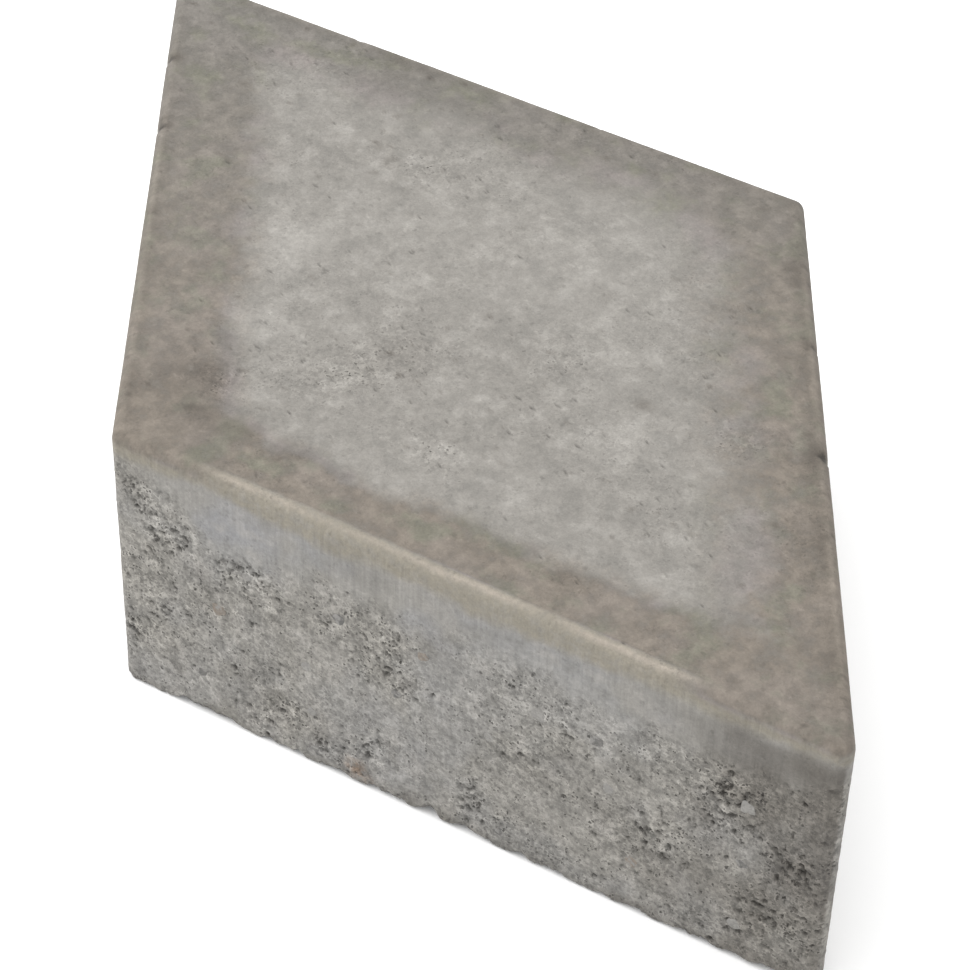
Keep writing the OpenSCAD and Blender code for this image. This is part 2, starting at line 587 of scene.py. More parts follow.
    def wear_and_highlight(self, points: np.ndarray) -> np.ndarray:
        """0 to 1: the pale rubbed line along the top arris, partly wear and partly a painted highlight, which
        fades towards the corners.
        """
        inset = self.plan.inset(points)
        run = self.plan.laid_flat(points)[:, 0] % self.plan.length
        near_end = np.minimum(run, self.plan.length - run)
        depth = self.top - points[:, 2]
        line = 1.9 * MM + 0.3 * MM * Noise(51, 12 * MM, 2)(points)
        beside = (inset.min(0) - line) / (0.7 * MM)
        under = np.maximum(depth - 1.2 * MM, 0) / MM
        closeness = np.exp(-beside ** 2 - under ** 2)
        strength = np.clip(0.7 + 0.5 * Noise(52, 20 * MM, 2)(points), 0, 1)
        # The other sides get a faint line of the same painted highlight
        faint = 0.25 * (self.rim(points) >= 0) * smooth_step(12 * MM, 40 * MM, near_end)
        return closeness * strength * (self.crest(points) + faint)


# ----------------------------------------------------------------------------------------- chips in the sides

@dataclass
class ChipSeat:
    """Where the frame seats one chip.

    Args:
        side: the side it shows in.
        middle: the chip's middle.
        planes: unit normals and offsets of its faces, in rows of four.
        rim: its outline on the side, as run round the block and height.
    """

    side: Side
    middle: np.ndarray
    planes: np.ndarray
    rim: np.ndarray


@dataclass
class ChipSeats:
    """Every chip of the frame, read from its nodes.

    Args:
        plan: the block's plan.
        seats: the chips of each node.
    """

    plan: Plan
    seats: dict[str, list[ChipSeat]] = field(default_factory=dict)

    def read(self, node: str) -> None:
        """Reads the chips of one node."""
        mesh = bmesh.new()
        mesh.from_mesh(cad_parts[node].data)
        bmesh.ops.remove_doubles(mesh, verts=mesh.verts, dist=0.001 * MM)
        mesh.verts.ensure_lookup_table()
        left = set(mesh.verts)
        self.seats[node] = []
        while left:
            island, queue = set(), [next(iter(left))]
            while queue:
                vertex = queue.pop()
                if vertex in island:
                    continue
                island.add(vertex)
                queue.extend(edge.other_vert(vertex) for edge in vertex.link_edges)
            left -= island
            self.seats[node].append(self.seat(island))
        mesh.free()
        self.seats[node].sort(key=lambda seat: (seat.side.value, round(float(seat.rim[:, 0].mean()), 5)))

    def seat(self, island: set) -> ChipSeat:
        """Measures one chip."""
        corners = np.array([vertex.co for vertex in island])
        middle = corners.mean(0)
        side = Side(int(self.plan.side_of(middle[None])[0]))
        faces = {face for vertex in island for face in vertex.link_faces if face.calc_area() > 1e-12}
        planes = np.array([[*face.normal, face.normal.dot(face.verts[0].co)] for face in faces])
        reach = corners[:, :2] @ self.plan.outward(side)
        on_wall = corners[np.abs(reach - self.plan.half_width) < 0.02 * MM]
        rim = self.plan.laid_flat(on_wall)
        spin = np.arctan2(*(rim - rim.mean(0)).T[::-1])
        return ChipSeat(side, middle, planes, rim[np.argsort(spin)])

    def pocket(self, flat: np.ndarray) -> np.ndarray:
        """Distance that each point of the sides lies inside a chip's outline, or 0."""
        inside = np.zeros(len(flat))
        for seat in (seat for seats in self.seats.values() for seat in seats):
            middle, reach = seat.rim.mean(0), np.ptp(seat.rim, axis=0).max()
            near = np.where(np.abs(flat - middle).max(1) < reach)[0]
            edge = np.roll(seat.rim, -1, 0) - seat.rim
            length = np.maximum(np.linalg.norm(edge, axis=1), 1e-9)
            normal = np.stack([-edge[:, 1], edge[:, 0]], 1) / length[:, None]
            away = ((flat[near, None] - seat.rim[None]) * normal[None]).sum(2)
            keep = length > 1e-7
            inside[near] = np.maximum(inside[near], away[:, keep].min(1))
        return np.maximum(inside, 0)


# ----------------------------------------------------------------------------------------------------- meshes

@dataclass
class Skin:
    """Points of a mesh before they are joined up, with what the finish reads at each.

    Args:
        places: the points.
        marks: named values from 0 to 1, one to a point.
    """

    places: np.ndarray
    marks: dict[str, np.ndarray]


def joined(first: Skin, second: Skin) -> Skin:
    """Two skins as one."""
    marks = {name: np.concatenate([first.marks[name], second.marks[name]]) for name in first.marks}
    return Skin(np.concatenate([first.places, second.places]), marks)


def new_piece(name: str, places: np.ndarray, faces: list[np.ndarray],
              marks: dict[str, np.ndarray]) -> bpy.types.Object:
    """Makes an object from arrays.

    Args:
        name: the piece's name.
        places: its points.
        faces: arrays of corner numbers, one array for each number of corners.
        marks: values to keep at the points.

    Returns:
        The new object, in the scene.
    """
    mesh = bpy.data.meshes.new(name)
    loops = np.concatenate([group.ravel() for group in faces]).astype(np.int32)
    sizes = np.concatenate([np.full(len(group), group.shape[1], np.int32) for group in faces])
    mesh.vertices.add(len(places))
    mesh.vertices.foreach_set("co", places.astype(np.float32).ravel())
    mesh.loops.add(len(loops))
    mesh.loops.foreach_set("vertex_index", loops)
    mesh.polygons.add(len(sizes))
    mesh.polygons.foreach_set("loop_start", np.concatenate([[0], np.cumsum(sizes)[:-1]]).astype(np.int32))
    mesh.polygons.foreach_set("loop_total", sizes)
    mesh.polygons.foreach_set("use_smooth", np.ones(len(sizes), bool))
    mesh.update(calc_edges=True)
    mesh.validate()
    for mark, values in marks.items():
        layer = mesh.attributes.new(mark, "FLOAT", "POINT")
        layer.data.foreach_set("value", values.astype(np.float32))
    piece = bpy.data.objects.new(name, mesh)
    bpy.context.scene.collection.objects.link(piece)
    return piece


def ring_faces(rows: int, columns: int) -> np.ndarray:
    """Quads between the rows of a closed band of points, facing out."""
    row, column = np.meshgrid(np.arange(rows - 1), np.arange(columns), indexing="ij")
    after = (column + 1) % columns
    return np.stack([row * columns + column, row * columns + after,
                     (row + 1) * columns + after, (row + 1) * columns + column], -1).reshape(-1, 4)


@dataclass
class Sheet:
    """A net of points that fills a ring with the same number of points on each of its four sides.

    Args:
        steps: points to a side of the ring.
    """

    steps: int

    def numbers(self, ring_start: int, inner_start: int) -> np.ndarray:
        """Point numbers of the net.

        Args:
            ring_start: number of the ring's first point.
            inner_start: number of the first point inside the ring.

        Returns:
            A square array of point numbers.
        """
        steps = self.steps
        net = np.zeros((steps + 1, steps + 1), np.int64)
        net[1:-1, 1:-1] = inner_start + np.arange((steps - 1) ** 2).reshape(steps - 1, steps - 1)
        count = np.arange(steps + 1)
        net[:, 0] = ring_start + count
        net[:, steps] = ring_start + 3 * steps - count
        net[0, :] = ring_start + (4 * steps - count) % (4 * steps)
        net[steps, :] = ring_start + steps + count
        return net

    def inner(self, ring: np.ndarray) -> np.ndarray:
        """Points inside the ring, spread evenly between its sides."""
        steps = self.steps
        edge = self.numbers(0, 0)
        near, far = ring[edge[:, :1]], ring[edge[:, -1:]]
        left, right = ring[edge[:1]], ring[edge[-1:]]
        share = (np.arange(steps + 1) / steps)[:, None]
        u, v = share[:, None], share[None]
        spread = (1 - v) * near + v * far + (1 - u) * left + u * right
        spread -= (1 - u) * (1 - v) * ring[0] + u * (1 - v) * ring[steps]
        spread -= (1 - u) * v * ring[3 * steps] + u * v * ring[2 * steps]
        return spread[1:-1, 1:-1].reshape(-1, ring.shape[1])

    def faces(self, ring_start: int, inner_start: int, upward: bool) -> np.ndarray:
        """Quads of the net, facing up or down."""
        net = self.numbers(ring_start, inner_start)
        quads = np.stack([net[:-1, :-1], net[1:, :-1], net[1:, 1:], net[:-1, 1:]], -1).reshape(-1, 4)
        return quads if upward else quads[:, ::-1]


def fan_faces(ring_start: int, columns: int, centre: int, upward: bool) -> np.ndarray:
    """Triangles from a ring to one point."""
    count = np.arange(columns)
    fan = np.stack([ring_start + count, ring_start + (count + 1) % columns, np.full(columns, centre)], 1)
    return fan if upward else fan[:, ::-1]


def kept_inside(piece: bpy.types.Object, low: Vector, high: Vector) -> None:
    """Brings points that lie outside a box back onto its walls."""
    places = np.zeros(len(piece.data.vertices) * 3, np.float32)
    piece.data.vertices.foreach_get("co", places)
    places = np.clip(places.reshape(-1, 3), np.array(low), np.array(high))
    piece.data.vertices.foreach_set("co", places.ravel())
    piece.data.update()


def thinned(piece: bpy.types.Object, most: int) -> None:
    """Takes points away where the surface is flattest, down to a number of triangles."""
    corners = np.zeros(len(piece.data.polygons), np.int32)
    piece.data.polygons.foreach_get("loop_total", corners)
    triangles = int((corners - 2).sum())
    if triangles <= most:
        return
    thinner = piece.modifiers.new("thinner", "DECIMATE")
    thinner.ratio = most / triangles
    graph = bpy.context.evaluated_depsgraph_get()
    mesh = bpy.data.meshes.new_from_object(piece.evaluated_get(graph))
    piece.modifiers.clear()
    piece.data = mesh
    log.info("%s thinned from %d to %d triangles", piece.name, triangles, len(mesh.polygons))


# --------------------------------------------------------------------------------------------------- finishes

Socket = bpy.types.NodeSocket
Value = Socket | float
Colour = tuple[float, float, float]


def srgb(red: int, green: int, blue: int) -> Colour:
    """A colour as seen on a screen, from 0 to 255, as light."""
    return tuple(((c / 255 + 0.055) / 1.055) ** 2.4 if c > 10 else c / 255 / 12.92
                 for c in (red, green, blue))


class Nodes:
    """Short names for the shader nodes that the finishes use."""

    def __init__(self, name: str) -> None:
        """Starts a material with one Principled shader."""
        self.material = bpy.data.materials.new(name)
        self.material.use_nodes = True
        self.tree = self.material.node_tree
        self.shader = self.tree.nodes["Principled BSDF"]
        self.place = self.tree.nodes.new("ShaderNodeTexCoord").outputs["Object"]

    def put(self, socket: Socket, value: "Value | Colour") -> None:
        """Links or sets an input."""
        if isinstance(value, bpy.types.NodeSocket):
            self.tree.links.new(value, socket)
        elif isinstance(value, tuple):
            socket.default_value = (*value, 1.0)
        else:
            socket.default_value = value

    def maths(self, kind: str, first: Value, second: Value = 0.0, clamp: bool = False) -> Socket:
        """One step of arithmetic."""
        node = self.tree.nodes.new("ShaderNodeMath")
        node.operation, node.use_clamp = kind, clamp
        self.put(node.inputs[0], first)
        self.put(node.inputs[1], second)
        return node.outputs[0]

    def spread(self, value: Value, low: float, high: float, to_low: float = 0.0,
               to_high: float = 1.0) -> Socket:
        """Maps low..high smoothly to to_low..to_high."""
        node = self.tree.nodes.new("ShaderNodeMapRange")
        node.interpolation_type = "SMOOTHSTEP"
        for socket, given in zip(node.inputs, (value, low, high, to_low, to_high)):
            self.put(socket, given)
        return node.outputs[0]

    def mark(self, name: str) -> Socket:
        """A value kept at the mesh's points."""
        node = self.tree.nodes.new("ShaderNodeAttribute")
        node.attribute_name = name
        return node.outputs["Fac"]

    def noise(self, size: float, detail: float = 4.0, roughness: float = 0.6, squash: float = 1.0) -> Socket:
        """Cloudy noise whose patches are about size across, and squash times as tall."""
        node = self.tree.nodes.new("ShaderNodeTexNoise")
        mapped = self.tree.nodes.new("ShaderNodeMapping")
        mapped.inputs["Scale"].default_value = (1.0, 1.0, 1.0 / squash)
        mapped.inputs["Location"].default_value = (0.37 * size, 1.91 * size, 13.0 * size)
        self.put(mapped.inputs["Vector"], self.place)
        self.put(node.inputs["Vector"], mapped.outputs[0])
        for name, given in (("Scale", 1 / size), ("Detail", detail), ("Roughness", roughness)):
            self.put(node.inputs[name], given)
        return node.outputs["Fac"]

    def grains(self, size: float) -> tuple[Socket, Socket]:
        """Packed ragged grains about size across: each grain's number, and the distance from its middle."""
        ruffle = self.tree.nodes.new("ShaderNodeTexNoise")
        self.put(ruffle.inputs["Vector"], self.place)
        self.put(ruffle.inputs["Scale"], 1.3 / size)
        place = self.tree.nodes.new("ShaderNodeVectorMath")
        place.operation = "MULTIPLY_ADD"
        self.put(place.inputs[0], ruffle.outputs["Color"])
        place.inputs[1].default_value = (1.4 * size,) * 3
        self.put(place.inputs[2], self.place)
        node = self.tree.nodes.new("ShaderNodeTexVoronoi")
        self.put(node.inputs["Vector"], place.outputs[0])
        self.put(node.inputs["Scale"], 1 / size)
        apart = self.tree.nodes.new("ShaderNodeSeparateColor")
        self.put(apart.inputs[0], node.outputs["Color"])
        return apart.outputs[0], node.outputs["Distance"]

    def mix(self, share: Value, first: "Socket | Colour", second: "Socket | Colour",
            kind: str = "MIX") -> Socket:
        """Mixes two colours."""
        node = self.tree.nodes.new("ShaderNodeMix")
        node.data_type, node.blend_type = "RGBA", kind
        self.put(node.inputs["Factor"], share)
        self.put(node.inputs["A"], first)
        self.put(node.inputs["B"], second)
        return node.outputs["Result"]

    def shaded(self, colour: Socket, factor: Value) -> Socket:
        """A colour times a number."""
        node = self.tree.nodes.new("ShaderNodeVectorMath")
        node.operation = "SCALE"
        self.put(node.inputs[0], colour)
        self.put(node.inputs["Scale"], factor)
        return node.outputs[0]

    def bump(self, height: Socket, depth: float, under: Socket | None = None) -> Socket:
        """Relief too fine for the mesh, depth tall."""
        node = self.tree.nodes.new("ShaderNodeBump")
        node.inputs["Strength"].default_value = 1.0
        node.inputs["Distance"].default_value = depth
        self.put(node.inputs["Height"], height)
        if under is not None:
            self.put(node.inputs["Normal"], under)
        return node.outputs[0]


@dataclass(frozen=True)
class ConcreteFinish:
    """Cast concrete: paste, sand and grit, with stains, pale bloom, rubbed edges with a painted highlight,
    open pores with painted shade, and grit painted lighter where it stands high.

    Args:
        trodden: the walking face.
        skin, blue: the smooth paste on the sides, and its bluer places.
        body: the open mix.
        pale: the bloom.
        brown, grey, olive, mauve: colours of the stained margin.
        tan: the band round the arris.
        rust: the iron stains.
        rubbed_highlight: the worn arris, made paler as a painted highlight.
        pore_shade: painted shade inside the pores and broken places.
    """

    trodden: Colour = srgb(120, 117, 112)
    skin: Colour = srgb(126, 125, 123)
    blue: Colour = srgb(125, 125, 127)
    body: Colour = srgb(124, 122, 118)
    pale: Colour = srgb(144, 141, 136)
    brown: Colour = srgb(105, 98, 90)
    grey: Colour = srgb(99, 97, 93)
    olive: Colour = srgb(97, 96, 85)
    mauve: Colour = srgb(111, 105, 102)
    tan: Colour = srgb(124, 119, 108)
    rust: Colour = srgb(115, 95, 77)
    rubbed_highlight: Colour = srgb(144, 136, 126)
    pore_shade: Colour = srgb(39, 37, 34)

    def paste(self, n: Nodes) -> Socket:
        """Colours of the paste: trodden, smooth or open, then its stains, bloom and rubbed edge, with painted
        shade in its tone and a painted highlight on the edge.
        """
        coarse, tone, stain, level = n.mark("coarse"), n.mark("tone"), n.mark("stain"), n.mark("level")
        cloud, drift = n.noise(9 * MM, 4.0, 0.55), n.noise(34 * MM, 3.0)
        fine, mottle = n.noise(2.2 * MM, 4.0, 0.6), n.noise(4.5 * MM, 3.0, 0.5)
        smooth = n.mix(n.spread(n.noise(23 * MM, 2.0), 0.46, 0.62, 0.0, 0.6), self.skin, self.blue)
        wall = n.mix(coarse, smooth, self.body)
        wall = n.mix(n.spread(drift, 0.42, 0.58, 0.0, 0.6), wall, n.mix(0.6, self.tan, self.body))
        paste = n.mix(level, wall, self.trodden)
        bloom = n.maths("ADD", n.maths("MULTIPLY", cloud, 0.5), n.maths("MULTIPLY", mottle, 0.35))
        bloom = n.maths("ADD", bloom, n.maths("MULTIPLY", fine, 0.15))
        paste = n.mix(n.spread(bloom, 0.485, 0.65, 0.0, 0.5), paste, self.pale)
        paste = n.mix(n.spread(bloom, 0.505, 0.37, 0.0, 0.42), paste, self.grey)
        paste = n.mix(n.maths("MULTIPLY", tone, 0.62, clamp=True), paste, self.pale)
        banded = n.maths("MULTIPLY", n.mark("tan"), n.spread(fine, 0.3, 0.6, 0.6, 0.95))
        paste = n.mix(banded, paste, self.tan)
        hue = n.mix(n.maths("MINIMUM", n.mark("brown"), 1.0), self.grey, self.brown)
        hue = n.mix(n.spread(n.noise(13 * MM, 4.0), 0.5, 0.66, 0.0, 0.8), hue, self.olive)
        fading = n.maths("MULTIPLY", n.spread(stain, 0.1, 0.5), n.spread(stain, 0.98, 0.6))
        veil = n.maths("MULTIPLY", n.spread(n.noise(26 * MM, 3.0), 0.44, 0.58), n.maths("ADD", 0.2, fading))
        hue = n.mix(n.maths("MULTIPLY", veil, 0.85, clamp=True), hue, self.mauve)
        mottled = n.maths("MULTIPLY", n.spread(mottle, 0.34, 0.66, 0.84, 1.15),
                          n.spread(fine, 0.34, 0.66, 0.95, 1.05))
        hue = n.shaded(hue, mottled)
        tide = n.maths("MULTIPLY", n.spread(stain, 0.4, 0.65), n.spread(stain, 0.97, 0.8))
        tide = n.maths("MULTIPLY", tide, n.spread(drift, 0.4, 0.6, 0.02, 0.12))
        hue = n.shaded(hue, n.maths("SUBTRACT", 1.0, tide))
        frayed = n.maths("ADD", n.maths("SUBTRACT", fine, 0.5), n.maths("SUBTRACT", mottle, 0.5))
        frayed = n.maths("MULTIPLY", frayed, n.spread(stain, 0.0, 0.3, 0.0, 0.9))
        share = n.maths("MINIMUM", n.maths("ADD", stain, frayed, clamp=True), 0.97)
        paste = n.mix(share, paste, hue)
        # Below zero the tone browns and darkens the paste: dark patches and grime, with the painted shade of
        # the arris line, the end of the front-right side and its corner
        paste = n.mix(n.spread(tone, -1.0, 0.0, 0.5, 0.0), paste, self.brown)
        paste = n.shaded(paste, n.spread(tone, -1.0, 0.0, 0.62, 1.0))
        rusted = n.maths("MULTIPLY", n.mark("rust"), n.spread(fine, 0.35, 0.6, 0.15, 0.85))
        paste = n.mix(rusted, paste, self.rust)
        # Pale line on the arris: partly rubbed wear, partly a painted highlight
        worn = n.maths("MULTIPLY", n.mark("wear_and_highlight"), n.spread(fine, 0.25, 0.6, 0.5, 1.0))
        return n.mix(worn, paste, self.rubbed_highlight)

    def material(self, name: str) -> bpy.types.Material:
        """Builds the finish.

        Args:
            name: the material's name.

        Returns:
            The material. It reads the marks of the two layers.
        """
        n = Nodes(name)
        coarse, crowd, pit_shade = n.mark("coarse"), n.mark("crowd"), n.mark("pit_shade")
        fine, dust = n.noise(1.3 * MM, 4.0, 0.65), n.noise(0.55 * MM, 2.0, 0.6)
        small, small_reach = n.grains(0.8 * MM)
        large, large_reach = n.grains(1.9 * MM)
        drag = n.noise(1.0 * MM, 3.0, 0.6, 14.0)
        even = n.maths("MULTIPLY", n.spread(fine, 0.34, 0.66, 0.94, 1.06),
                       n.spread(dust, 0.34, 0.66, 0.96, 1.04))
        wall = n.maths("SUBTRACT", 1.0, n.mark("level"))
        dragged = n.maths("MULTIPLY", wall, n.spread(n.noise(11 * MM, 2.0), 0.4, 0.6, 0.25, 0.6))
        streak = n.maths("MULTIPLY", n.maths("SUBTRACT", drag, 0.5), dragged)
        even = n.maths("ADD", even, streak)
        sand, sand_reach = n.grains(1.5 * MM)
        grain = n.maths("SUBTRACT", n.spread(sand, 0.16, 0.1, 0.0, 0.09),
                        n.spread(sand, 0.85, 0.91, 0.0, 0.13))
        even = n.maths("ADD", even, n.maths("MULTIPLY", grain, n.spread(sand_reach, 0.5, 0.25)))
        grit = n.maths("MULTIPLY", n.spread(small, 0.0, 1.0, 0.77, 1.27),
                       n.spread(large, 0.0, 1.0, 0.89, 1.12))
        # Raised grains are painted lighter and low ones darker: painted light and shade
        grit = n.maths("MULTIPLY", grit, n.spread(n.mark("raised_lit"), 0.0, 1.0, 0.8, 1.2))
        crowded = n.maths("ADD", 0.85, n.maths("MULTIPLY", crowd, 0.5))
        contrast = n.maths("MULTIPLY", n.maths("ADD", 0.12, coarse), crowded)
        shade = n.maths("ADD", even, n.maths("MULTIPLY", n.maths("SUBTRACT", grit, 1.0), contrast))
        paste = n.shaded(self.paste(n), shade)
        speck = n.maths("MULTIPLY", n.spread(small, 0.77, 0.81), n.spread(small_reach, 0.5, 0.3))
        chance = n.maths("ADD", n.maths("MULTIPLY", crowd, 0.8),
                         n.spread(n.noise(5 * MM, 3.0), 0.44, 0.62, 0.2, 0.95))
        holes = n.maths("MULTIPLY", speck, n.maths("MULTIPLY", chance, n.maths("ADD", 0.08, coarse)))
        holes = n.maths("MINIMUM", holes, 0.75)
        # Pores and broken places are filled with painted shade
        paste = n.mix(n.maths("MAXIMUM", n.maths("MULTIPLY", pit_shade, 0.92), holes), paste, self.pore_shade)
        n.put(n.shader.inputs["Base Color"], paste)
        n.put(n.shader.inputs["Roughness"], n.spread(fine, 0.3, 0.7, 0.82, 0.97))
        n.put(n.shader.inputs["Specular IOR Level"], 0.3)
        sandy = n.maths("ADD", n.maths("MULTIPLY", dust, 0.4), n.maths("MULTIPLY", fine, 0.6))
        sand = n.bump(sandy, 0.25 * MM)
        ground = n.maths("MULTIPLY", n.spread(large_reach, 0.0, 0.5, 0.5, 0.0), coarse)
        crumbs = n.maths("MULTIPLY", n.spread(small_reach, 0.0, 0.5, 0.7, 0.0), coarse)
        ground = n.maths("ADD", ground, crumbs)
        n.put(n.shader.inputs["Normal"], n.bump(n.maths("SUBTRACT", ground, holes), 0.25 * MM, sand))
        return n.material


@dataclass(frozen=True)
class StoneFinish:
    """A broken stone chip, partly covered by a film of paste.

    Args:
        stone: colour of the fresh break.
        vein: colour of its grains and veins.
        film: colour of the paste on it.
        cover: share of the chip that the film covers.
    """

    stone: Colour
    vein: Colour
    film: Colour = srgb(122, 120, 117)
    cover: float = 0.75

    def material(self, name: str) -> bpy.types.Material:
        """Builds the finish and returns its material."""
        n = Nodes(name)
        fine, grain = n.noise(1.1 * MM, 4.0, 0.7), n.grains(0.5 * MM)[0]
        body = n.mix(n.spread(fine, 0.42, 0.62), self.stone, self.vein)
        body = n.shaded(body, n.spread(grain, 0.0, 1.0, 0.82, 1.18))
        edge = 0.62 - 0.25 * self.cover
        film = n.spread(n.noise(2.4 * MM, 4.0, 0.65), edge, 0.72 - 0.25 * self.cover, 1.0, 0.15)
        body = n.mix(film, body, self.film)
        n.put(n.shader.inputs["Base Color"], body)
        n.put(n.shader.inputs["Roughness"], n.spread(fine, 0.3, 0.7, 0.6, 0.92))
        n.put(n.shader.inputs["Specular IOR Level"], 0.35)
        n.put(n.shader.inputs["Normal"], n.bump(fine, 0.1 * MM))
        return n.material


@dataclass(frozen=True)
class FloorFinish:
    """A plain pale studio floor."""

    colour: Colour = (0.9, 0.9, 0.9)

    def material(self, name: str) -> bpy.types.Material:
        """Builds the finish and returns its material."""
        n = Nodes(name)
        duller = tuple(0.985 * c for c in self.colour)
        n.put(n.shader.inputs["Base Color"], n.mix(n.noise(0.4, 2.0), self.colour, duller))
        n.put(n.shader.inputs["Roughness"], 0.9)
        n.put(n.shader.inputs["Specular IOR Level"], 0.1)
        return n.material


# ------------------------------------------------------------------------------------------------- the pieces

@dataclass
class Relief:
    """How deep the surface lies below the flat walls of the frame, and what marks it carries.

    Args:
        weather: what the block has been through.
        seats: where the chips are.
    """

    weather: Weather
    seats: ChipSeats

    def wall(self, nominal: np.ndarray) -> tuple[np.ndarray, dict[str, np.ndarray]]:
        """The upright sides.

        Args:
            nominal: points on the flat walls.

        Returns:
            Depth at each point, and the marks.
        """
        plan = self.weather.plan
        coarse, crowd = self.weather.coarseness(nominal), self.weather.crowding(nominal)
        flat = plan.laid_flat(nominal)
        warp = np.stack([Noise(61, 1.4 * MM, 2)(nominal), Noise(62, 1.4 * MM, 2)(nominal)], 1)
        bent = flat + 0.6 * MM * warp
        wide = Pits(75, 3.6 * MM, 0.5 * MM, 1.2 * MM)(bent, (0.012 + 0.16 * crowd) * coarse)
        grit = Pits(79, 2.1 * MM, 0.5 * MM, 1.15 * MM)(bent, np.full(len(flat), 0.7))
        crumb, lump = Noise(65, 1.9 * MM, 3)(nominal), Noise(66, 1.25 * MM, 3)(nominal)
        broken = smooth_step(0.74 - 0.52 * crowd, 1.12 - 0.52 * crowd, lump + 0.25 * crumb) * coarse
        depth = 0.12 * MM + 0.06 * MM * Noise(63, 30 * MM, 2)(nominal)
        depth += 0.015 * MM * Noise(64, 2.5 * MM, 2, (1, 1, 9.0))(nominal)
        open_mix = coarse * (0.7 + 0.6 * crowd)
        depth += open_mix * (0.13 * MM + 0.085 * MM * crumb - 0.09 * MM * np.sqrt(grit))
        depth += (0.35 + 0.55 * crowd) * MM * broken + 0.8 * MM * wide ** 0.7
        inside = self.seats.pocket(flat)
        cover = smooth_step(0.45 * MM, 0.9 * MM, inside)
        depth = depth * (1 - cover) + 0.9 * MM * cover
        # Where the pores and broken places are painted with shade
        pit_shade = np.clip(np.maximum(0.85 * broken, 1.2 * wide), 0, 1) * (1 - cover)
        # How high the grain tops stand, which the finish turns into painted light
        raised_lit = np.clip(0.45 + 0.3 * np.sqrt(grit) - 0.45 * crumb, 0, 1)
        return np.maximum(depth, 0), {"coarse": coarse, "crowd": crowd, "pit_shade": pit_shade, "raised_lit": raised_lit}

    def face(self, nominal: np.ndarray) -> tuple[np.ndarray, dict[str, np.ndarray]]:
        """The walking face and its arris, as depth and marks."""
        weather = self.weather
        inset = weather.plan.inset(nominal).min(0)
        depth = 0.16 * MM + 0.08 * MM * Noise(81, 45 * MM, 2)(nominal)
        depth -= 0.16 * MM * np.exp(-((inset - 2.2 * MM) / (1.2 * MM)) ** 2)
        depth += 0.16 * MM * np.exp(-((inset - 7 * MM) / (4 * MM)) ** 2)
        rough = np.clip(0.3 + 0.3 * Noise(82, 26 * MM, 2)(nominal), 0.1, 1)
        rough = np.clip(rough + weather.gathered(nominal, ROUGH_PLACES, False, 87), 0, 1.2)
        waves = 0.03 * MM * Noise(84, 7 * MM, 2)(nominal)
        depth += 0.05 * MM * rough * Noise(83, 1.8 * MM, 3)(nominal) + waves
        bent = nominal[:, :2] + 0.3 * MM * Noise(86, 1 * MM, 1)(nominal)[:, None]
        pits = Pits(85, 2.6 * MM, 0.35 * MM, 0.8 * MM)(bent, 0.3 * np.clip(rough - 0.25, 0, 1))
        depth += 0.35 * MM * pits
        marks = {"coarse": 0.36 * rough ** 1.4, "crowd": 0.5 * rough, "pit_shade": 0.55 * pits,
                 "raised_lit": np.full(len(pits), 0.5)}
        return np.maximum(depth, 0), marks

    def nicks(self, nominal: np.ndarray) -> np.ndarray:
        """Depth of the broken places on the arris."""
        plan = self.weather.plan
        flat = plan.laid_flat(nominal)
        inset = plan.inset(nominal).min(0)
        drop = self.weather.top - nominal[:, 2]
        from_edge = np.hypot(inset, drop)
        total = np.zeros(len(nominal))
        for nick in NICKS:
            run = flat[:, 0] - nick.side.value * plan.length - nick.along
            run = run + 0.4 * MM * Noise(91, 2 * MM, 2)(nominal)
            gap = np.hypot(run / nick.reach, np.maximum(from_edge - 0.6 * MM, 0) / (1.6 * nick.reach))
            total = np.maximum(total, nick.depth * np.clip(1 - gap ** 2, 0, 1) ** 0.7)
        return total


def common_marks(weather: Weather, points: np.ndarray) -> dict[str, np.ndarray]:
    """Marks that both layers carry on their outsides."""
    stain, brown = weather.stain(points)
    rust = np.clip(weather.gathered(points, RUST_STAINS, True, 55), 0, 1)
    return {"stain": stain, "brown": brown, "tan": weather.tan(points), "tone": weather.tone(points),
            "wear_and_highlight": weather.wear_and_highlight(points), "rust": rust, "level": np.zeros(len(points))}


